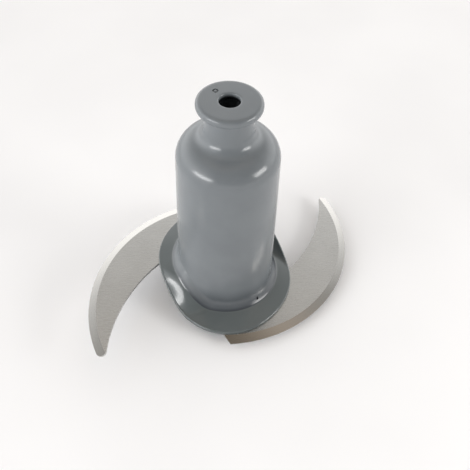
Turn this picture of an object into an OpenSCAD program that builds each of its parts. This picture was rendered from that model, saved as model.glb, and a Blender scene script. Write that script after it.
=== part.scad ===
// Food processor blade: a tall moulded hub with a finger knob, and two swept steel knives.
// The knives lie half a turn apart, one a step above the other, their tangs held in the brim.
// Millimetres, +Z up the drive axis, origin on that axis in the plane of the hub's foot.

/* [Hub wall] */
// Radius of the wall where the shoulder begins
wall_r = 24.5; // [22:0.5:28]
// Height of the straight wall, from the foot to the shoulder
wall_h = 93.5; // [80:0.5:110]
// Draft of the wall, in degrees
wall_draft = 0.8; // [0.3:0.1:1.5]
// Thickness of the wall
wall_t = 2.6; // [2:0.1:3]
// Radius of the shoulder's round
shoulder_round = 11; // [9:0.5:12]
// Thickness of the wall at the foot, round the bore that runs on the bowl's column
foot_t = 3.4; // [2.8:0.1:6]
// Height of that bore
seat_h = 10; // [6:1:14]

/* [Neck and knob] */
// Radius of the neck
neck_r = 11.35; // [10:0.05:12]
// Radius of the fillet between neck and shoulder
neck_fillet = 3.3; // [2:0.1:4.5]
// Height from the top of the shoulder to the top of the knob
neck_h = 21; // [18:0.5:30]
// Radius of the knob
knob_r = 15; // [14:0.5:18]
// Thickness of the knob at its edge
knob_t = 4.4; // [4:0.1:5]
// Radius of the rounds on that edge
knob_edge = 1.9; // [1.5:0.1:2]
// Radius of the fillet under the knob
knob_fillet = 2.5; // [1:0.1:3]
// Thickness of the plate across the top
plate_t = 3; // [2:0.5:4]
// Radius of the hole through that plate
hole_r = 4.85; // [3.5:0.05:6]
// Radius of the round on that hole's upper edge
hole_edge = 0.7; // [0.3:0.1:1]
// Radius of the gate mark's recess
gate_r = 1.4; // [0.8:0.1:1.8]
// Depth of the gate mark's recess
gate_deep = 0.5; // [0.3:0.1:0.8]
// Direction of the gate mark from the axis
gate_turn = 136; // [0:1:359]

/* [Drive socket] */
// Thickness of the neck round its socket
neck_t = 2.75; // [2:0.05:3.5]
// Number of drive ribs in the socket
drive_ribs = 6; // [3:1:8]
// Width of a drive rib
drive_rib_w = 2; // [1.2:0.1:2.4]
// How far a drive rib stands out of the socket's wall
drive_rib_h = 1.4; // [0.8:0.1:1.8]
// Length of a drive rib
drive_rib_len = 15; // [8:1:18]

/* [Brim] */
// Mean width of the brim, from the wall's foot to its edge
brim_w = 12; // [11:0.1:14]
// Height of the brim's edge above a knife's top face
rim_over = 1.8; // [1.2:0.1:2.4]
// How far the brim's outline swells and narrows as an oval
brim_oval = 2.4; // [0:0.1:3]
// Direction of the oval's long axis
brim_oval_turn = -72; // [-90:1:-60]
// How far the outline fills out between its axes
brim_square = 0.7; // [0:0.1:1]
// Thickness of the brim's rim
rim_t = 2.4; // [2:0.1:3]
// Fall of the brim's top from the wall to the edge
brim_fall = 1.6; // [0.5:0.1:2.5]
// Width of the flare at the wall's foot
flare_w = 3.1; // [2:0.1:4]
// Height of that flare
flare_h = 6.5; // [5:0.5:8]
// Rise of the flare's lower end, which meets the brim in a crease
flare_rise = 2.6; // [1:0.1:3]
// Width of the step between the two levels, in degrees
step_w = 50; // [40:1:52]
// How far the step lags at the wall, in degrees
step_lag = 18; // [0:1:20]
// Distance from the edge to the thick part that holds the tang
keeper_back = 4; // [3:0.5:5]
// Thickness of plastic below a tang
keeper_t = 2; // [1.5:0.1:2.4]
// Number of gussets under the high half of the brim
gussets = 5; // [2:1:6]
// Thickness of a gusset
gusset_t = 1.6; // [1.2:0.1:2.4]

/* [Knives] */
// Thickness of the sheet
sheet_t = 1.5; // [1.2:0.1:1.8]
// Height of the low knife's underside above the foot
knife_z = 3.5; // [3:0.1:4.5]
// Height of one knife above the other
knife_step = 11.9; // [10:0.1:14]
// Distance from the axis to the cutting edge's end at the tip
sweep_r = 86.4; // [80:0.2:92]
// Direction of that end from the axis
tip_turn = 45; // [43:0.5:47]
// Distance from the axis to the root's outer corner
root_r = 45.8; // [44:0.2:48]
// Direction of that corner from the axis
root_turn = -84; // [-88:1:-80]
// Direction of the root's inner corner, on the tang's inner edge
root_in_turn = -114; // [-118:1:-110]
// How far the cutting edge bows out from the straight line between its ends
edge_bow_h = 31.8; // [30:0.1:34]
// Distance from the axis to where the hollow back leaves the brim
back_start_r = 36.9; // [36:0.1:38]
// Direction of that place from the axis
back_turn = 8; // [5:1:11]
// Distance from the axis to the hollow back's end at the tip
back_end_r = 82.2; // [78:0.2:86]
// Direction of that end from the axis
back_end_turn = 47.2; // [46:0.2:48.4]
// How far the hollow back bows from the straight line between its ends
back_bow_h = 5.2; // [4:0.1:6]
// Radius of the tip's round
tip_round = 2.6; // [1.5:0.1:3]
// Width of the ground bevel at the root
grind_root_w = 5; // [4:0.1:6]
// Width of the ground bevel halfway along the edge
grind_mid_w = 3.9; // [3:0.1:5]
// Width of the ground bevel at the tip
grind_tip_w = 4; // [3:0.1:5]
// Thickness left at the cutting edge where the bevel is widest
edge_land = 0.25; // [0.15:0.05:0.4]
// Distance from the wall to the tang's inner edge
tang_in = 0.6; // [0.2:0.1:1.2]
// Radius of the holes that lock the tang in the hub
lock_r = 2; // [1.5:0.1:2.2]
// Distance from the tang's inner edge to the middle of those holes
lock_in = 4.4; // [3.6:0.1:5]
// Radius of the marks left by the pins that held the tang in the mould
pin_r = 0.6; // [0.4:0.1:0.8]
// Direction of a pin mark from the axis
pin_turn = -48; // [-52:1:-44]
// Distance from the flare's lower end back to the middle of a pin mark
pin_back = 1.7; // [1:0.1:2]

/* [Hidden] */
$fn = 96;

// Cuts reach past a face by this much
over = 0.5;
// Directions of the two locking holes
lock_turns = [-75, -38];
// Sides of a curve and sections round the brim
arc_steps = 10;
brim_steps = 120;
flare_steps = 5;
rim_round = 0.8;
// Degrees left free between the step and the first and last gusset
gusset_clear = 12;

hub_h = wall_h + shoulder_round + neck_h;
knob_z = hub_h - knob_t;
shoulder_c = [wall_r - shoulder_round, wall_h];
// The neck's fillet touches the neck and the shoulder's round, or its flat top
neck_out = max(0, neck_r + neck_fillet - shoulder_c.x);
neck_lean = asin(neck_out / (shoulder_round + neck_fillet));
neck_fillet_c = [neck_r + neck_fillet, wall_h + (shoulder_round + neck_fillet) * cos(neck_lean)];
knob_fillet_c = [neck_r + knob_fillet, knob_z - knob_fillet];
socket_r = neck_r - neck_t;
socket_top = hub_h - plate_t;
gate_at = (hole_r + knob_r - knob_edge) / 2;
cavity_top = wall_h + shoulder_round - wall_t;
seat_r = wall_at(0) - foot_t;
brim_r = wall_at(0) + brim_w;
brim_z = knife_z + sheet_t + rim_over;
foot_r = wall_at(brim_z) + flare_w;
web_t = rim_over + sheet_t + keeper_t;
// The step starts where the upper knife's back leaves the brim
step_turn = back_turn - 181 + step_w / 2;
tang_r = wall_at(0) + tang_in;
lock_at = tang_r + lock_in;
pin_at = foot_r - pin_back;

function wall_at(z) = wall_r + (wall_h - z) * tan(wall_draft);
function polar(r, a) = [r * cos(a), r * sin(a)];
function arc(c, r, a0, a1) = [for (i = [0:arc_steps]) c + polar(r, a0 + (a1 - a0) * i / arc_steps)];
function mix(a, b, t) = a + (b - a) * t;
function ease(t) = let (u = min(max(t, 0), 1)) u * u * (3 - 2 * u);
function turn_from(a, b) = (a - b + 540) % 360 - 180;

// Share of the upper level at direction a, where the step's middle lies at direction m
function level(a, m) =
    let (d = turn_from(a, m))
    abs(d) < 90 ? 1 - ease(d / step_w + 0.5)
    : d > 0 ? ease((d - 180) / step_w + 0.5)
    : ease((d + 180) / step_w + 0.5);
function brim_edge_r(a) =
    brim_r + brim_oval * cos(2 * (a - brim_oval_turn)) + brim_square * cos(4 * a);
function brim_edge_z(a) = brim_z + knife_step * level(a, step_turn);
function brim_foot_z(a) = brim_z + brim_fall + knife_step * level(a, step_turn + step_lag);

// Section of the brim at direction a, as [radius, height], from the wall out and back below
function brim_section(a) =
    let (
        edge = [brim_edge_r(a), brim_edge_z(a)],
        foot = [foot_r, brim_foot_z(a)],
        rim = [edge.x - rim_round, edge.y],
        slope = (foot.y - rim.y) / (rim.x - foot.x),
        corner = [foot_r - flare_w, foot.y + slope * flare_w + flare_rise],
        wall = [corner.x - over, foot.y + flare_h],
        keep = edge.x - keeper_back
    )
    concat(
        [for (i = [0:flare_steps]) let (t = i / flare_steps)
            mix(mix(wall, corner, t), mix(corner, foot, t), t)],
        [for (i = [1:3]) mix(foot, rim, i / 3)],
        [[edge.x - rim_round * 0.3, edge.y - rim_round * 0.3]],
        [[edge.x, edge.y - rim_round]],
        [[edge.x, edge.y - rim_t]],
        [[keep, edge.y - rim_t]],
        [[keep - over, edge.y - web_t]],
        [[seat_r + wall_t / 2, edge.y - web_t]]
    );

// Radius and centre of the arc that runs from a to b and bows to the right of that way by h
function bow_r(a, b, h) = (pow(norm(b - a) / 2, 2) + h * h) / (2 * h);
function bow_centre(a, b, h) =
    let (d = b - a)
    (a + b) / 2 + (bow_r(a, b, h) - h) / norm(d) * [-d.y, d.x];
// Centre of the circle through a, b and c
function circle_centre(a, b, c) =
    let (p = b - a, q = c - a, pp = p * p, qq = q * q)
    a + [q.y * pp - p.y * qq, p.x * qq - q.x * pp] / (2 * cross(p, q));
// Where two circles cross, on the side away from the axis
function circles_hit(c1, r1, c2, r2) =
    let (
        d = norm(c2 - c1),
        u = (c2 - c1) / d,
        k = (d * d + r1 * r1 - r2 * r2) / (2 * d)
    )
    c1 + k * u + sqrt(r1 * r1 - k * k) * [u.y, -u.x];

root_c = polar(root_r, root_turn);
root_in = polar(tang_r, root_in_turn);
root_slant = atan2(root_in.y - root_c.y, root_in.x - root_c.x);
tip_end = polar(sweep_r, tip_turn);
edge_r = bow_r(root_c, tip_end, edge_bow_h);
edge_c = bow_centre(root_c, tip_end, edge_bow_h);
back_start = polar(back_start_r, back_turn);
back_end = polar(back_end_r, back_end_turn);
back_r = bow_r(back_start, back_end, back_bow_h);
back_c = bow_centre(back_start, back_end, back_bow_h);
// The ground bevel's inner line runs through three points, each its own width in from the edge
grind_root = mix(root_c, edge_c, grind_root_w / edge_r);
grind_mid = mix((root_c + tip_end) / 2, edge_c, (grind_mid_w - edge_bow_h) / (edge_r - edge_bow_h));
grind_tip = mix(tip_end, edge_c, grind_tip_w / edge_r);
grind_c = circle_centre(grind_root, grind_mid, grind_tip);
grind_r = norm(grind_root - grind_c);
tip_c = circles_hit(edge_c, edge_r - tip_round, back_c, back_r + tip_round);
tip_out = edge_c + (tip_c - edge_c) * edge_r / (edge_r - tip_round);
tip_in = back_c + (tip_c - back_c) * back_r / (back_r + tip_round);
tip_dir = atan2(tip_out.y - tip_in.y, tip_out.x - tip_in.x);

module shell_outside() {
    rotate_extrude()
        polygon(concat(
            [[0, 0], [wall_at(0), 0]],
            arc(shoulder_c, shoulder_round, 0, 90 - neck_lean),
            arc(neck_fillet_c, neck_fillet, 270 - neck_lean, 180),
            arc(knob_fillet_c, knob_fillet, 180, 90),
            arc([knob_r - knob_edge, knob_z + knob_edge], knob_edge, -90, 0),
            arc([knob_r - knob_edge, hub_h - knob_edge], knob_edge, 0, 90),
            [[0, hub_h]]
        ));
}

// The hollow that slides over the bowl's column, up to the socket in the neck
module cavity() {
    translate([0, 0, -over])
        cylinder(r = seat_r, h = seat_h + 2 * over);
    rotate_extrude()
        polygon(concat(
            [[0, seat_h], [wall_at(seat_h) - wall_t, seat_h]],
            arc(shoulder_c, shoulder_round - wall_t, 0, 90),
            [[0, cavity_top]]
        ));
    translate([0, 0, cavity_top - over])
        cylinder(r = socket_r, h = socket_top - cavity_top + over);
    rotate_extrude()
        polygon(concat(
            [[0, socket_top - over], [hole_r, socket_top - over]],
            arc([hole_r + hole_edge, hub_h - hole_edge], hole_edge, 180, 90),
            [[hole_r + hole_edge, hub_h + over], [0, hub_h + over]]
        ));
}

module drive_ribs() {
    for (i = [0:drive_ribs - 1])
        rotate(i * 360 / drive_ribs)
            translate([socket_r - drive_rib_h, -drive_rib_w / 2, socket_top - drive_rib_len])
                cube([drive_rib_h + over, drive_rib_w, drive_rib_len]);
}

module brim() {
    rings = [for (i = [0:brim_steps - 1]) brim_section(i * 360 / brim_steps)];
    n = len(rings[0]);
    points = [for (i = [0:brim_steps - 1]) for (p = rings[i])
        let (xy = polar(p.x, i * 360 / brim_steps)) [xy.x, xy.y, p.y]];
    faces = [for (i = [0:brim_steps - 1]) for (j = [0:n - 1])
        let (a = i * n, b = (i + 1) % brim_steps * n, k = (j + 1) % n)
        each [[a + j, b + j, b + k], [a + j, b + k, a + k]]];
    polyhedron(points, faces);
}

// Ribs that carry the high half of the brim, down to the wall's foot
module gussets() {
    first = step_turn + 180 + step_w / 2 + gusset_clear;
    last = step_turn + 360 - step_w / 2 - gusset_clear;
    top = brim_z + knife_step - web_t + over;
    for (i = [0:gussets - 1])
        rotate(mix(first, last, i / (gussets - 1)))
            translate([0, gusset_t / 2, 0])
                rotate([90, 0, 0])
                    linear_extrude(gusset_t)
                        polygon([
                            [seat_r + wall_t / 2, top],
                            [seat_r + wall_t / 2, over],
                            [wall_at(0) + over, over],
                            [brim_r - brim_oval - keeper_back - 4 * over, top]
                        ]);
}

module gate_mark() {
    nub_r = 0.4 * gate_r;
    nub_h = 0.8 * gate_deep;
    translate(concat(polar(gate_at, gate_turn), hub_h - gate_deep))
        difference() {
            cylinder(r = gate_r, h = gate_deep + over);
            cylinder(r = nub_r, h = nub_h);
        }
}

// A pin's mark runs down from the brim's top to the tang
module pin_mark() {
    translate(concat(polar(pin_at, pin_turn), knife_z + sheet_t / 2))
        cylinder(r = pin_r, h = brim_fall + flare_h + rim_over + sheet_t, $fn = 24);
}

// Everything beyond the line through a, on the left of direction d
module beyond(a, d) {
    translate(a)
        rotate(d)
            translate([-2 * edge_r, 0])
                square(4 * edge_r);
}

// Outline of a knife and its tang, seen from above
module knife_plan() {
    difference() {
        translate(edge_c)
            circle(edge_r, $fn = 180);
        translate(back_c)
            circle(back_r, $fn = 180);
        circle(tang_r);
        beyond(tip_in, tip_dir);
        beyond(root_c, root_slant);
    }
    translate(tip_c)
        circle(tip_round, $fn = 48);
}

// The ground bevel is a wide cone's flank, cut away from the top face
module grind() {
    drop = (sheet_t - edge_land) / grind_root_w;
    reach = 4 * grind_root_w;
    translate(grind_c)
        rotate_extrude($fn = 180)
            polygon([
                [grind_r - over, sheet_t + over * drop],
                [grind_r + reach, sheet_t - reach * drop],
                [grind_r + reach, sheet_t + over],
                [grind_r - over, sheet_t + over]
            ]);
}

module knife_blank() {
    difference() {
        linear_extrude(sheet_t)
            knife_plan();
        for (a = lock_turns)
            translate(concat(polar(lock_at, a), -over))
                cylinder(r = lock_r, h = sheet_t + 2 * over, $fn = 36);
    }
}

module knife() {
    difference() {
        knife_blank();
        grind();
    }
}

module low_place() {
    translate([0, 0, knife_z])
        children();
}

module high_place() {
    rotate(180)
        translate([0, 0, knife_z + knife_step])
            children();
}

module hub() {
    color([0.53, 0.55, 0.57])
        difference() {
            union() {
                difference() {
                    union() {
                        shell_outside();
                        brim();
                        gussets();
                    }
                    cavity();
                    gate_mark();
                }
                drive_ribs();
            }
            low_place()
                knife();
            high_place()
                knife();
            pin_mark();
            rotate(180)
                translate([0, 0, knife_step])
                    pin_mark();
        }
}

module low_blade() {
    color([0.72, 0.72, 0.70])
        low_place()
            knife();
}

module high_blade() {
    color([0.72, 0.72, 0.70])
        high_place()
            knife();
}

hub();
low_blade();
high_blade();
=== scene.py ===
"""A food processor blade on a pale sweep: one moulded hub with a finger knob, two swept steel knives."""
from math import asin, atan2, cos, degrees, hypot, pi, radians, sin, sqrt, tan

import bpy
from mathutils import Matrix, Vector


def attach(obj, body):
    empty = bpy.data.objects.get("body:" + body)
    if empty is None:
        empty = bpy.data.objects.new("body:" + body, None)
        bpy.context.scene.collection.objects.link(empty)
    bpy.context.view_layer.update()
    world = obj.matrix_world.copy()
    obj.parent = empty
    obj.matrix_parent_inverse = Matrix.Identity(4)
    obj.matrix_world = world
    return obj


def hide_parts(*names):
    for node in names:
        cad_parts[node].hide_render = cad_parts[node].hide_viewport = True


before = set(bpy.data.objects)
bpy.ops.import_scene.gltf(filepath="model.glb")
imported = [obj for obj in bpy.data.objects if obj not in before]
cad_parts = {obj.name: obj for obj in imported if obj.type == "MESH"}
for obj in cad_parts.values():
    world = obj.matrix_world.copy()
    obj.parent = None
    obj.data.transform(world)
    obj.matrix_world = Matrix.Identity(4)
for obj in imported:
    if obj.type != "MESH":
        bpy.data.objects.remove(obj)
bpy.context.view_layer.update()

MM = 0.001

# Sizes in millimetres and degrees, as in the part's source
WALL_R, WALL_H, WALL_DRAFT, WALL_T = 24.5, 93.5, 0.8, 2.6
SHOULDER_ROUND, FOOT_T, SEAT_H = 11.0, 3.4, 10.0
NECK_R, NECK_FILLET, NECK_H = 11.35, 6.5, 21.0
KNOB_R, KNOB_T, KNOB_EDGE, KNOB_FILLET = 15.0, 4.4, 1.9, 1.75
PLATE_T, HOLE_R, HOLE_EDGE = 3.0, 4.85, 0.7
GATE_R, GATE_DEEP, GATE_TURN = 1.4, 0.5, 136.0
NECK_T, RIBS, RIB_W, RIB_H, RIB_LEN = 2.75, 6, 2.0, 1.4, 15.0
BRIM_W, RIM_OVER, BRIM_OVAL, OVAL_TURN, BRIM_SQUARE = 12.0, 1.8, 2.4, -72.0, 0.7
RIM_T, BRIM_FALL, FLARE_W, FLARE_H, FLARE_RISE = 2.4, 1.6, 3.1, 6.5, 2.6
STEP_W, STEP_LAG, KEEPER_BACK, KEEPER_T, GUSSETS, GUSSET_T = 50.0, 16.0, 4.0, 2.0, 5, 1.6
SHEET_T, KNIFE_Z, KNIFE_STEP = 1.5, 3.5, 11.9
SWEEP_R, TIP_TURN, ROOT_R, ROOT_TURN, ROOT_IN_TURN = 86.4, 45.0, 45.8, -84.0, -114.0
EDGE_BOW_H, BACK_START_R, BACK_TURN, BACK_END_R, BACK_END_TURN = 31.8, 36.9, 8.0, 82.2, 47.2
BACK_BOW_H, TIP_ROUND, GRIND_ROOT_W, GRIND_MID_W, GRIND_TIP_W = 5.2, 2.6, 5.0, 3.9, 4.0
EDGE_LAND, TANG_IN, LOCK_R, LOCK_IN, PIN_R, PIN_TURN, PIN_BACK = 0.25, 0.6, 2.0, 4.4, 0.6, -48.0, 1.7

HUB_H = WALL_H + SHOULDER_ROUND + NECK_H
BRIM_Z = KNIFE_Z + SHEET_T + RIM_OVER
WEB_T = RIM_OVER + SHEET_T + KEEPER_T
CAVITY_TOP = WALL_H + SHOULDER_ROUND - WALL_T
SOCKET_R, SOCKET_TOP = NECK_R - NECK_T, HUB_H - PLATE_T
STEP_TURN = BACK_TURN - 181 + STEP_W / 2
RAMP_BOW = 1.2  # How far the ramp bows outwards, 1 for not at all
RAMP_LATE = 3.5  # The ramp that faces the camera lies a little further round


def wall_at(z):
    return WALL_R + (WALL_H - z) * tan(radians(WALL_DRAFT))


SEAT_R = wall_at(0) - FOOT_T
BRIM_R = wall_at(0) + BRIM_W
FOOT_R = wall_at(BRIM_Z) + FLARE_W
TANG_R = wall_at(0) + TANG_IN


def polar(r, turn):
    return Vector((r * cos(radians(turn)), r * sin(radians(turn))))


def arc(centre, r, first, last, steps):
    """Points on an arc, both ends among them."""
    return [Vector(centre) + polar(r, first + (last - first) * i / steps) for i in range(steps + 1)]


def bent(a, corner, b, steps):
    """Points on the curve from a to b that leaves towards the corner, both ends among them."""
    shares = [i / steps for i in range(steps + 1)]
    return [Vector(a).lerp(Vector(corner), t).lerp(Vector(corner).lerp(Vector(b), t), t) for t in shares]


def along(a, b, steps):
    """Points between a and b, both ends left out."""
    return [Vector(a).lerp(Vector(b), i / steps) for i in range(1, steps)]


# ---- Modelling by hand ----

def edit(piece=None):
    """Into edit mode on one piece alone, or out of it again."""
    if bpy.context.object and bpy.context.object.mode != "OBJECT":
        bpy.ops.object.mode_set(mode="OBJECT")
    if piece:
        bpy.ops.object.select_all(action="DESELECT")
        piece.select_set(True)
        bpy.context.view_layer.objects.active = piece
        bpy.ops.object.mode_set(mode="EDIT")


def fresh(add, name, **size):
    """A new primitive, added with nothing else selected."""
    edit()
    bpy.ops.object.select_all(action="DESELECT")
    add(**size)
    piece = bpy.context.object
    piece.name = piece.data.name = name
    return piece


def settle(piece):
    """Brings a piece's place into its mesh, so that its object lies at the origin."""
    edit()
    bpy.ops.object.select_all(action="DESELECT")
    piece.select_set(True)
    bpy.context.view_layer.objects.active = piece
    bpy.ops.object.transform_apply(location=True, rotation=True, scale=True)


def modify(piece, kind, **settings):
    """Adds a modifier and applies it."""
    settle(piece)
    made = piece.modifiers.new(kind.title(), kind)
    for key, value in settings.items():
        setattr(made, key, value)
    bpy.ops.object.modifier_apply(modifier=made.name)


def weld(piece, gap=1e-7, outward=True):
    """Merges doubles and turns all faces outwards."""
    edit(piece)
    bpy.ops.mesh.select_all(action="SELECT")
    bpy.ops.mesh.remove_doubles(threshold=gap)
    if outward:
        bpy.ops.mesh.normals_make_consistent(inside=False)
    edit()


def join(piece, *others):
    """Joins other pieces into one and throws nothing away."""
    edit()
    bpy.ops.object.select_all(action="DESELECT")
    for other in (piece, *others):
        other.select_set(True)
    bpy.context.view_layer.objects.active = piece
    bpy.ops.object.join()


def cut(piece, tool):
    """Cuts the tool's shape out of the piece, and puts the tool away."""
    modify(piece, "BOOLEAN", operation="DIFFERENCE", solver="EXACT", object=tool)
    bpy.data.objects.remove(tool)


def smooth(piece, angle):
    settle(piece)
    bpy.ops.object.shade_smooth_by_angle(angle=radians(angle))


def drawn(name, points):
    """A line of edges through the points, extruded one after another from a single corner."""
    start = Vector(points[0])
    piece = fresh(bpy.ops.mesh.primitive_plane_add, name, size=MM, location=start)
    edit(piece)
    bpy.ops.mesh.merge(type="CENTER")
    for before, after in zip(points, points[1:]):
        step = Vector(after) - Vector(before)
        bpy.ops.mesh.extrude_vertices_move(TRANSFORM_OT_translate={"value": step})
    edit()
    settle(piece)
    return piece


# ---- The hub ----

def ease(t):
    u = min(max(t, 0.0), 1.0)
    return u * u * (3 - 2 * u)


def level(turn, middle):
    """Share of the brim's upper level at a direction, where the step's middle lies at another."""
    away = (turn - middle + 540) % 360 - 180
    if abs(away) < 90:
        return 1 - ease((away - RAMP_LATE) / STEP_W + 0.5)
    return ease((away - 180) / STEP_W + 0.5) if away > 0 else ease((away + 180) / STEP_W + 0.5)


def brim_section(turn):
    """The brim at one direction, from the wall's flare over the rim and back below to the wall."""
    a = radians(turn)
    edge_r = BRIM_R + BRIM_OVAL * cos(2 * (a - radians(OVAL_TURN))) + BRIM_SQUARE * cos(4 * a)
    edge_z = BRIM_Z + KNIFE_STEP * level(turn, STEP_TURN)
    rim = Vector((edge_r - 0.8, edge_z))

    def top(share):
        late = STEP_LAG * (1 - share ** RAMP_BOW)
        return Vector((
            FOOT_R + (rim.x - FOOT_R) * share,
            BRIM_Z + BRIM_FALL * (1 - share) + KNIFE_STEP * level(turn, STEP_TURN + late)))

    foot = top(0)
    slope = (foot.y - rim.y) / (rim.x - foot.x)
    corner_z = foot.y + slope * FLARE_W + FLARE_RISE
    corner = Vector((wall_at(corner_z), corner_z))
    wall = Vector((wall_at(foot.y + FLARE_H), foot.y + FLARE_H))
    flare = bent(wall, corner, foot, 14)[:-1]
    # A small round softens the crease between the flare and the brim
    first = 0.8 / (rim.x - FOOT_R)
    crease = bent(flare[-1], foot, top(first), 5)[1:]
    ramp = [top(first + (1 - first) * k / 8) for k in range(1, 9)]
    keep = edge_r - KEEPER_BACK
    under = edge_z - WEB_T
    return [
        *flare, *crease, *ramp,
        *arc((rim.x, edge_z - 0.8), 0.8, 90, 0, 5),
        *arc((edge_r - 0.4, edge_z - RIM_T + 0.4), 0.4, 0, -90, 3),
        Vector((keep + 0.4, edge_z - RIM_T)), Vector((keep, edge_z - RIM_T - 0.3)),
        Vector((keep - 0.5, under + 0.3)), Vector((keep - 0.9, under)),
        Vector((wall_at(under) + 0.4, under)), Vector((wall_at(under), under - 0.4)),
    ]


def hub_outline():
    """The hub's outline at no direction in particular, and where its brim begins and ends."""
    shoulder = (WALL_R - SHOULDER_ROUND, WALL_H)
    out = NECK_R + NECK_FILLET - shoulder[0]
    lean = degrees(asin(out / (SHOULDER_ROUND + NECK_FILLET)))
    neck_c = (NECK_R + NECK_FILLET, WALL_H + (SHOULDER_ROUND + NECK_FILLET) * cos(radians(lean)))
    knob_z = HUB_H - KNOB_T
    knob_c = (NECK_R + KNOB_FILLET, knob_z - KNOB_FILLET)
    above = [
        *arc((HOLE_R + HOLE_EDGE, HUB_H - HOLE_EDGE), HOLE_EDGE, 180, 90, 7),
        *along((HOLE_R + HOLE_EDGE, HUB_H), (KNOB_R - KNOB_EDGE, HUB_H), 8),
        *arc((KNOB_R - KNOB_EDGE, HUB_H - KNOB_EDGE), KNOB_EDGE, 90, 0, 10),
        *arc((KNOB_R - KNOB_EDGE, knob_z + KNOB_EDGE), KNOB_EDGE, 0, -90, 10),
        *arc(knob_c, KNOB_FILLET, 90, 180, 10),
        *along((NECK_R, knob_c[1]), (NECK_R, neck_c[1]), 5),
        *arc(neck_c, NECK_FILLET, 180, 270 - lean, 10),
        *arc(shoulder, SHOULDER_ROUND, 90 - lean, 0, 20)[1:],
        *along((WALL_R, WALL_H), (wall_at(31), 31), 9),
        Vector((wall_at(31), 31)),
    ]
    brim = brim_section(STEP_TURN)
    inner = (WALL_R - SHOULDER_ROUND, WALL_H)
    below = [
        Vector((wall_at(0.4), 0.4)), Vector((wall_at(0) - 0.4, 0)),
        Vector((SEAT_R + 0.5, 0)), Vector((SEAT_R, 0.5)),
        Vector((SEAT_R, SEAT_H - 0.3)), Vector((SEAT_R + 0.3, SEAT_H)),
        Vector((wall_at(SEAT_H) - WALL_T - 0.4, SEAT_H)), Vector((wall_at(SEAT_H) - WALL_T, SEAT_H + 0.4)),
        *arc(inner, SHOULDER_ROUND - WALL_T, 0, 90, 14),
        Vector((SOCKET_R + 0.4, CAVITY_TOP)), Vector((SOCKET_R, CAVITY_TOP + 0.4)),
        Vector((SOCKET_R, SOCKET_TOP - 0.4)), Vector((SOCKET_R - 0.4, SOCKET_TOP)),
        Vector((HOLE_R, SOCKET_TOP)),
    ]
    return above + brim + below, len(above), len(above) + len(brim)


def moulded_hub():
    outline, first, last = hub_outline()
    hub = drawn("hub_moulding", [(p.x * MM, 0, p.y * MM) for p in outline])
    edit(hub)
    bpy.ops.mesh.select_all(action="SELECT")
    bpy.ops.mesh.edge_face_add()
    bpy.ops.mesh.delete(type="ONLY_FACE")
    bpy.ops.mesh.select_all(action="SELECT")
    bpy.ops.mesh.spin(steps=240, angle=2 * pi, center=(0, 0, 0), axis=(0, 0, 1))
    weld(hub)
    # The round brim is pulled to its oval outline and to its two levels
    lines = {}
    for corner in hub.data.vertices:
        r, z = hypot(corner.co.x, corner.co.y) / MM, corner.co.z / MM
        key = (round(r, 2), round(z, 2))
        if key not in lines:
            lines[key] = min(range(len(outline)), key=lambda i: hypot(outline[i].x - r, outline[i].y - z))
        line = lines[key]
        if first <= line < last:
            turn = degrees(atan2(corner.co.y, corner.co.x))
            place = brim_section(turn)[line - first]
            spot = polar(place.x, turn)
            corner.co = (spot.x * MM, spot.y * MM, place.y * MM)
    return hub


def gusset(turn):
    """A rib under the high half of the brim, down to the wall's foot."""
    top = BRIM_Z + KNIFE_STEP - WEB_T + 0.3
    inner, low, high = wall_at(0) - 1.2, wall_at(0) + 0.5, BRIM_R - BRIM_OVAL - KEEPER_BACK - 2
    rib = fresh(bpy.ops.mesh.primitive_cube_add, "gusset", size=1)
    for corner in rib.data.vertices:
        up, out = corner.co.z > 0, corner.co.x > 0
        r = (high if up else low) if out else inner
        side = GUSSET_T / 2 * (1 if corner.co.y > 0 else -1)
        corner.co = (r * MM, side * MM, (top if up else 0.5) * MM)
    modify(rib, "BEVEL", width=0.25 * MM, segments=2)
    rib.rotation_euler.z = radians(turn)
    settle(rib)
    return rib


def drive_rib(turn):
    """A rib in the neck's socket, which the spindle's head slides along."""
    rib = fresh(bpy.ops.mesh.primitive_cube_add, "drive_rib", size=1)
    inner, outer = SOCKET_R - RIB_H, SOCKET_R + 0.5
    for corner in rib.data.vertices:
        r = inner if corner.co.x < 0 else outer
        side = RIB_W / 2 * (1 if corner.co.y > 0 else -1)
        z = SOCKET_TOP + 0.3 if corner.co.z > 0 else SOCKET_TOP - RIB_LEN
        corner.co = (r * MM, side * MM, z * MM)
    modify(rib, "BEVEL", width=0.3 * MM, segments=2)
    rib.rotation_euler.z = radians(turn)
    settle(rib)
    return rib


def hub_marks():
    """The gate mark's recess and the two pin marks, as one cutting tool."""
    gate = polar((HOLE_R + KNOB_R - KNOB_EDGE) / 2, GATE_TURN) * MM
    recess = fresh(
        bpy.ops.mesh.primitive_cylinder_add, "gate_recess", vertices=48, radius=GATE_R * MM,
        depth=2 * GATE_DEEP * MM, location=(gate.x, gate.y, HUB_H * MM))
    tools = []
    for turn, rise in ((PIN_TURN, 0), (PIN_TURN + 180, KNIFE_STEP)):
        spot = polar(FOOT_R - PIN_BACK, turn) * MM
        tools.append(fresh(
            bpy.ops.mesh.primitive_cylinder_add, "pin_mark", vertices=24, radius=PIN_R * MM,
            depth=11 * MM, location=(spot.x, spot.y, (KNIFE_Z + SHEET_T + rise + 5.5) * MM)))
    join(recess, *tools)
    settle(recess)
    return recess


def gate_nub():
    gate = polar((HOLE_R + KNOB_R - KNOB_EDGE) / 2, GATE_TURN) * MM
    nub = fresh(
        bpy.ops.mesh.primitive_cylinder_add, "gate_nub", vertices=32, radius=0.45 * GATE_R * MM,
        depth=GATE_DEEP * 1.2 * MM, location=(gate.x, gate.y, (HUB_H - 0.65 * GATE_DEEP) * MM))
    modify(nub, "BEVEL", width=0.2 * MM, segments=3)
    return nub


# ---- The knives ----

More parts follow.
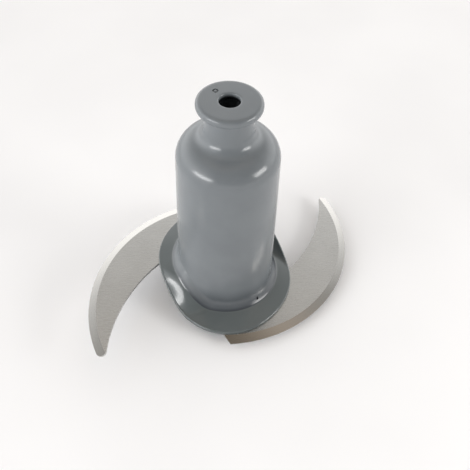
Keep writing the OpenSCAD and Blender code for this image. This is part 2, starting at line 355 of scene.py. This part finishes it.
def bow(a, b, h):
    """Radius and centre of the arc that runs from a to b and bows to the right of that way by h."""
    way = b - a
    r = ((way.length / 2) ** 2 + h * h) / (2 * h)
    return r, (a + b) / 2 + (r - h) / way.length * Vector((-way.y, way.x))


def circle_centre(a, b, c):
    p, q = b - a, c - a
    pp, qq = p.dot(p), q.dot(q)
    return a + Vector((q.y * pp - p.y * qq, p.x * qq - q.x * pp)) / (2 * (p.x * q.y - p.y * q.x))


ROOT = polar(ROOT_R, ROOT_TURN)
ROOT_IN = polar(TANG_R, ROOT_IN_TURN)
TIP_END = polar(SWEEP_R, TIP_TURN)
EDGE_R, EDGE_C = bow(ROOT, TIP_END, EDGE_BOW_H)
BACK_R, BACK_C = bow(polar(BACK_START_R, BACK_TURN), polar(BACK_END_R, BACK_END_TURN), BACK_BOW_H)
MIDDLE = (ROOT + TIP_END) / 2
GRIND_C = circle_centre(
    ROOT.lerp(EDGE_C, GRIND_ROOT_W / EDGE_R),
    MIDDLE + (EDGE_C - MIDDLE) * (GRIND_MID_W - EDGE_BOW_H) / (EDGE_R - EDGE_BOW_H),
    TIP_END.lerp(EDGE_C, GRIND_TIP_W / EDGE_R))
GRIND_R = (ROOT.lerp(EDGE_C, GRIND_ROOT_W / EDGE_R) - GRIND_C).length
GRIND_DROP = (SHEET_T - EDGE_LAND) / GRIND_ROOT_W


def circles_hit(c1, r1, c2, r2, side=1):
    """Where two circles cross, on the right of the way from the first centre to the second."""
    way = c2 - c1
    d = way.length
    u = way / d
    k = (d * d + r1 * r1 - r2 * r2) / (2 * d)
    return c1 + k * u + side * sqrt(r1 * r1 - k * k) * Vector((u.y, -u.x))


def heading(point, centre):
    return degrees(atan2(point.y - centre.y, point.x - centre.x))


def grind_depth(point):
    """How far the ground bevel has cut below the sheet's top at a point in plan."""
    return max(0.0, (point - GRIND_C).length - GRIND_R) * GRIND_DROP


def knife_lines():
    """The cutting edge, the grind line and the back as matching points, from the root to the tip."""
    tip_c = circles_hit(EDGE_C, EDGE_R - TIP_ROUND, BACK_C, BACK_R + TIP_ROUND)
    tip_out = EDGE_C + (tip_c - EDGE_C) * EDGE_R / (EDGE_R - TIP_ROUND)
    tip_in = BACK_C + (tip_c - BACK_C) * BACK_R / (BACK_R + TIP_ROUND)
    # The grind line leaves the blade where it crosses the tip's round
    hits = [circles_hit(GRIND_C, GRIND_R, tip_c, TIP_ROUND, side) for side in (1, -1)]
    nose_end = max(hits, key=lambda p: p.y)
    turn_out, turn_in = heading(tip_out, tip_c), heading(tip_in, tip_c)
    turn_end = turn_out + (heading(nose_end, tip_c) - turn_out) % 360
    turn_in = turn_out + (turn_in - turn_out) % 360
    edge = arc(EDGE_C, EDGE_R, heading(ROOT, EDGE_C), heading(tip_out, EDGE_C), 180)
    edge += arc(tip_c, TIP_ROUND, turn_out, turn_end, 12)[1:]
    way = (ROOT_IN - ROOT).normalized()
    from_c = ROOT - GRIND_C
    reach = from_c.dot(way)
    start = ROOT + way * (-reach - sqrt(reach * reach - from_c.length_squared + GRIND_R ** 2))
    grind = arc(GRIND_C, GRIND_R, heading(start, GRIND_C), heading(nose_end, GRIND_C), 192)
    # The back runs round the tang first and then along the hollow back
    hits = [circles_hit(BACK_C, BACK_R, Vector((0, 0)), TANG_R, side) for side in (1, -1)]
    tang_end = max(hits, key=lambda p: p.x)
    back = arc((0, 0), TANG_R, ROOT_IN_TURN, heading(tang_end, Vector((0, 0))), 70)
    back += arc(BACK_C, BACK_R, heading(tang_end, BACK_C), heading(tip_in, BACK_C), 110)[1:]
    back += arc(tip_c, TIP_ROUND, turn_in, turn_end, 12)[1:]
    return edge, grind, back


def knife(name, lift, half_turn):
    """Drawn along its edge, drawn in to the grind line and the back, raised to a sheet, and ground."""
    edge, grind, back = knife_lines()
    piece = drawn(name, [(p.x * MM, p.y * MM, 0) for p in edge])
    line = edge
    for wanted in (grind, back):
        edit(piece)
        if line is edge:
            bpy.ops.mesh.select_all(action="SELECT")
        bpy.ops.mesh.extrude_region_move(TRANSFORM_OT_translate={"value": (0, 0, 0)})
        edit()
        for corner in piece.data.vertices:
            if corner.select:
                spot = corner.co.xy / MM
                i = min(range(len(line)), key=lambda k: (line[k] - spot).length_squared)
                corner.co = (wanted[i].x * MM, wanted[i].y * MM, 0)
        line = wanted
    weld(piece, 1e-7, outward=False)
    edit(piece)
    bpy.ops.mesh.select_all(action="SELECT")
    bpy.ops.mesh.extrude_region_move(TRANSFORM_OT_translate={"value": (0, 0, SHEET_T * MM)})
    edit()
    for corner in piece.data.vertices:
        if corner.select:
            corner.co.z = (SHEET_T - grind_depth(corner.co.xy / MM)) * MM
    weld(piece)
    holes = []
    for turn in (-75, -38):
        spot = polar(TANG_R + LOCK_IN, turn) * MM
        holes.append(fresh(
            bpy.ops.mesh.primitive_cylinder_add, "lock_hole", vertices=36, radius=LOCK_R * MM,
            depth=4 * MM, location=(spot.x, spot.y, 0.75 * MM)))
    join(*holes)
    settle(holes[0])
    cut(piece, holes[0])
    piece.rotation_euler.z = radians(180) if half_turn else 0
    piece.location.z = lift * MM
    settle(piece)
    return piece


# ---- Finishes ----

class Wire:
    """One shader socket. Sums, products and quotients of wires and numbers add their Math nodes."""

    def __init__(self, finish, socket):
        self.finish, self.socket = finish, socket

    def maths(self, operation, a, b):
        return self.finish.node("ShaderNodeMath", {"operation": operation}, {0: a, 1: b})

    def __add__(self, other):
        return self.maths("ADD", self, other)

    def __radd__(self, other):
        return self.maths("ADD", other, self)

    def __sub__(self, other):
        return self.maths("SUBTRACT", self, other)

    def __rsub__(self, other):
        return self.maths("SUBTRACT", other, self)

    def __mul__(self, other):
        return self.maths("MULTIPLY", self, other)

    def __rmul__(self, other):
        return self.maths("MULTIPLY", other, self)

    def __truediv__(self, other):
        return self.maths("DIVIDE", self, other)


class Finish:
    """A material's or the world's node tree, started empty."""

    def __init__(self, owner):
        owner.use_nodes = True
        self.owner, self.tree = owner, owner.node_tree
        self.tree.nodes.clear()

    def node(self, kind, settings=None, sockets=None, out=0):
        """Adds a node, sets its settings and then its sockets, and returns one of its outputs."""
        made = self.tree.nodes.new(kind)
        for key, value in (settings or {}).items():
            if key == "stops":
                ramp = made.color_ramp.elements
                while len(ramp) < len(value):
                    ramp.new(0.5)
                for stop, (place, colour) in zip(ramp, value):
                    stop.position, stop.color = place, (*colour, 1)
            else:
                setattr(made, key, value)
        for key, value in (sockets or {}).items():
            if isinstance(value, Wire):
                self.tree.links.new(value.socket, made.inputs[key])
            else:
                made.inputs[key].default_value = value
        return Wire(self, made.outputs[out]) if len(made.outputs) else made

    def noise(self, place, scale, detail=2.0, roughness=0.5):
        return self.node(
            "ShaderNodeTexNoise", {}, {"Vector": place, "Scale": scale, "Detail": detail,
                                       "Roughness": roughness})

    def ranged(self, wire, low, high, first=0.3, last=0.7):
        """A wire's span from first to last, spread over low to high."""
        return self.node(
            "ShaderNodeMapRange", {"interpolation_type": "SMOOTHSTEP"},
            {"Value": wire, "From Min": first, "From Max": last, "To Min": low, "To Max": high})

    def mixed(self, share, a, b):
        """Two colours mixed by a share."""
        return self.node(
            "ShaderNodeMix", {"data_type": "RGBA"}, {"Factor": share, 6: a, 7: b}, out=2)

    def output(self, shader, kind="ShaderNodeOutputMaterial"):
        self.node(kind, {}, {"Surface": shader})


def colour(red, green, blue):
    return (red, green, blue, 1)


def hub_plastic():
    """Mid grey moulding with a soft satin skin, and painted shade on the brim, at the wall's foot and in the
    knob's hole.
    """
    made = Finish(bpy.data.materials.new("hub_plastic_satin"))
    place = made.node("ShaderNodeTexCoord", out="Object")
    cloudy = made.noise(place, 45, 3)
    skin = made.noise(place, 1900, 2, 0.6)
    wall = made.mixed(
        made.ranged(cloudy, 0, 1), colour(0.146, 0.160, 0.171), colour(0.160, 0.175, 0.186))
    brim = made.mixed(
        made.ranged(cloudy, 0, 1), colour(0.098, 0.112, 0.114), colour(0.110, 0.124, 0.126))
    # The brim is painted darker than the wall, as painted shade for the shade the tall body throws on it; it
    # is also more polished than the wall
    axis = made.node("ShaderNodeVectorMath", {"operation": "MULTIPLY"}, {0: place, 1: (1, 1, 0)})
    out = made.node("ShaderNodeVectorMath", {"operation": "LENGTH"}, {0: axis}, out="Value")
    on_brim = made.ranged(out, 0, 1, (FOOT_R - 0.2) * MM, (FOOT_R + 0.2) * MM)
    height = made.node("ShaderNodeSeparateXYZ", {}, {"Vector": place}, out="Z")
    # Painted shade: the wall is painted darker towards the low brim, and so is the crease all round
    low = made.ranged(height, 0, 1, (BRIM_Z + 17) * MM, (BRIM_Z + 4) * MM)
    crease = made.ranged(out, 0, 1, (FOOT_R - 1.6) * MM, (FOOT_R - 0.3) * MM)
    shade = low * 0.62 + crease * 0.38
    # Painted shade: the inside of the knob's hole is painted near black, for the shade deep in the socket
    inside = made.ranged(out, 0, 1, (HOLE_R + 0.6) * MM, (HOLE_R + 0.2) * MM) * made.ranged(
        height, 0, 1, (HUB_H - 0.9) * MM, (HUB_H - 2.2) * MM)
    tone = made.mixed(on_brim, made.mixed(shade, wall, colour(0.050, 0.056, 0.064)), brim)
    tone = made.mixed(inside, tone, colour(0.008, 0.009, 0.010))
    rough = made.ranged(cloudy, 0.20, 0.24) + made.ranged(skin, -0.01, 0.01) - on_brim * 0.06
    relief = made.node("ShaderNodeBump", {}, {"Strength": 0.02, "Distance": 0.00002, "Height": skin})
    shader = made.node("ShaderNodeBsdfPrincipled", {}, {
        "Base Color": tone, "Roughness": rough, "Normal": relief, "IOR": 1.5})
    made.output(shader)
    return made.owner


def knife_steel(name, half_turn, ground):
    """Satin rolled sheet, or the ground bevel with fine lines across the cutting edge."""
    made = Finish(bpy.data.materials.new(name))
    place = made.node("ShaderNodeTexCoord", out="Object")
    turned = made.node(
        "ShaderNodeMapping", {}, {"Vector": place, "Rotation": (0, 0, pi if half_turn else 0)})
    cloudy = made.noise(turned, 60, 3)
    if ground:
        centred = made.node("ShaderNodeMapping", {}, {
            "Vector": turned, "Location": (-GRIND_C.x * MM, -GRIND_C.y * MM, 0)})
        round_it = made.node("ShaderNodeTexGradient", {"gradient_type": "RADIAL"}, {"Vector": centred}, out=1)
        lines = made.node(
            "ShaderNodeTexNoise", {"noise_dimensions": "1D"},
            {"W": round_it * 1400, "Detail": 3.0, "Roughness": 0.6})
        tone = made.mixed(made.ranged(lines, 0, 1), colour(0.44, 0.43, 0.41), colour(0.50, 0.49, 0.47))
        rough = made.ranged(lines, 0.16, 0.24)
        height, deep = lines, 0.000004
    else:
        rolled = made.node("ShaderNodeMapping", {}, {
            "Vector": turned, "Rotation": (0, 0, radians(-40)), "Scale": (60, 2600, 60)})
        grain = made.noise(rolled, 1, 3, 0.6)
        tone = made.mixed(made.ranged(cloudy, 0, 1), colour(0.55, 0.545, 0.53), colour(0.59, 0.585, 0.57))
        rough = made.ranged(grain, 0.27, 0.28)
        height, deep = grain, 0.0000004
    relief = made.node("ShaderNodeBump", {}, {"Strength": 0.2, "Distance": deep, "Height": height})
    shader = made.node("ShaderNodeBsdfPrincipled", {}, {
        "Base Color": tone, "Metallic": 1.0, "Roughness": rough, "Normal": relief})
    made.output(shader)
    return made.owner


def sweep_paper():
    """The pale ground under the blade."""
    made = Finish(bpy.data.materials.new("sweep_paper"))
    place = made.node("ShaderNodeTexCoord", out="Object")
    soft = made.noise(place, 9, 2)
    tone = made.mixed(made.ranged(soft, 0, 1), colour(0.90, 0.897, 0.905), colour(0.93, 0.927, 0.935))
    shader = made.node("ShaderNodeBsdfPrincipled", {}, {
        "Base Color": tone, "Roughness": 0.9, "Specular IOR Level": 0.1})
    made.output(shader)
    return made.owner


# ---- Room, lamps and camera ----

def room():
    """A bright room with a dark ceiling, dim behind the camera."""
    world = bpy.data.worlds.new("room")
    bpy.context.scene.world = world
    made = Finish(world)
    way = made.node("ShaderNodeTexCoord", out="Generated")
    height = made.node("ShaderNodeSeparateXYZ", {}, {"Vector": way}, out="Z")
    across = made.node("ShaderNodeSeparateXYZ", {}, {"Vector": way}, out="X")
    depth = made.node("ShaderNodeSeparateXYZ", {}, {"Vector": way}, out="Y")
    bright = made.node("ShaderNodeValToRGB", {"stops": [
        (0.0, (1.0, 1.0, 1.0)), (0.44, (0.94, 0.94, 0.94)), (0.62, (0.46, 0.46, 0.46)),
        (0.73, (0.34, 0.34, 0.335)), (0.79, (0.20, 0.198, 0.19)), (0.86, (0.23, 0.215, 0.20)),
        (0.95, (0.30, 0.26, 0.22)), (1.0, (0.08, 0.066, 0.05))]}, {"Fac": height})
    dim = made.node("ShaderNodeValToRGB", {"stops": [
        (0.0, (0.14, 0.14, 0.14)), (0.30, (0.10, 0.10, 0.10)), (0.50, (0.08, 0.08, 0.08)),
        (0.80, (0.08, 0.08, 0.08)), (0.95, (0.10, 0.085, 0.07)), (1.0, (0.05, 0.04, 0.03))]}, {"Fac": height})
    towards_dim = across * cos(radians(-66)) + depth * sin(radians(-66))
    tone = made.mixed(made.ranged(towards_dim, 0, 1, 0.12, 0.60), bright, dim)
    rays = made.node("ShaderNodeLightPath", out="Is Camera Ray")
    seen = made.node("ShaderNodeBackground", {}, {"Color": colour(0.93, 0.93, 0.93), "Strength": 1.0})
    lit = made.node("ShaderNodeBackground", {}, {"Color": tone, "Strength": 2.28})
    both = made.node("ShaderNodeMixShader", {}, {0: rays, 1: lit, 2: seen})
    made.output(both, "ShaderNodeOutputWorld")


def window(name, turn, rise, wide, tall, watts, tint=(1, 1, 1)):
    """A soft upright lamp that faces the blade from a direction, its sizes in metres at 1.2 m."""
    light = bpy.data.lights.new(name, "AREA")
    light.shape, light.size, light.size_y, light.energy, light.color = "RECTANGLE", wide, tall, watts, tint
    pane = bpy.data.objects.new(name, light)
    bpy.context.scene.collection.objects.link(pane)
    way = Vector((*(cos(radians(rise)) * polar(1, turn)), sin(radians(rise))))
    pane.location = 1.2 * way + Vector((0, 0, 0.06))
    pane.rotation_euler = way.to_track_quat("Z", "Y").to_euler()


def camera():
    """The photograph's viewpoint: in front of the blade and above it, with a slight roll."""
    down, roll = 0.85645, 0.04303
    ahead = Vector((0, cos(down), -sin(down)))
    level_right, level_up = Vector((1, 0, 0)), Vector((0, sin(down), cos(down)))
    right = cos(roll) * level_right + sin(roll) * level_up
    up = cos(roll) * level_up - sin(roll) * level_right
    lens = bpy.data.cameras.new("camera")
    lens.sensor_fit, lens.sensor_width, lens.lens = "HORIZONTAL", 36, 667.94 / 470 * 36
    lens.clip_start, lens.clip_end = 0.01, 50
    eye = bpy.data.objects.new("camera", lens)
    bpy.context.scene.collection.objects.link(eye)
    turned = Matrix((right, up, -ahead)).transposed().to_4x4()
    eye.matrix_world = Matrix.Translation((0.004713, -0.230036, 0.303178)) @ turned
    bpy.context.scene.camera = eye


def stand():
    floor = fresh(bpy.ops.mesh.primitive_plane_add, "sweep", size=12)
    floor.data.materials.append(sweep_paper())


def dress():
    """Makes the pieces, gives each its finish, and lets each stand for its solid."""
    hub = moulded_hub()
    cut(hub, hub_marks())
    first = STEP_TURN + 180 + STEP_W / 2 + 12
    last = STEP_TURN + 360 - STEP_W / 2 - 12
    ribs = [gusset(first + (last - first) * i / (GUSSETS - 1)) for i in range(GUSSETS)]
    ribs += [drive_rib(i * 360 / RIBS) for i in range(RIBS)]
    join(hub, gate_nub(), *ribs)
    hub.data.materials.clear()
    hub.data.materials.append(hub_plastic())
    smooth(hub, 32)
    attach(hub, "root")
    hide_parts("hub")
    for side, lift, half_turn in (("low", KNIFE_Z, False), ("high", KNIFE_Z + KNIFE_STEP, True)):
        piece = knife(side + "_knife", lift, half_turn)
        piece.data.materials.clear()
        piece.data.materials.append(knife_steel(side + "_knife_sheet", half_turn, False))
        piece.data.materials.append(knife_steel(side + "_knife_bevel", half_turn, True))
        for face in piece.data.polygons:
            spot = face.center.xy / MM * (-1 if half_turn else 1)
            if face.normal.z > 0.5 and (spot - GRIND_C).length > GRIND_R + 0.01:
                face.material_index = 1
        smooth(piece, 8)
        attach(piece, "root")
        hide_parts(side + "_blade")


dress()
stand()
room()
window("left_window", 221, 12, 0.84, 0.25, 7.8)
window("right_window", -17, 18, 0.60, 0.34, 6.9, (1.0, 0.99, 0.97))
camera()
bpy.context.scene.view_settings.view_transform = "Standard"
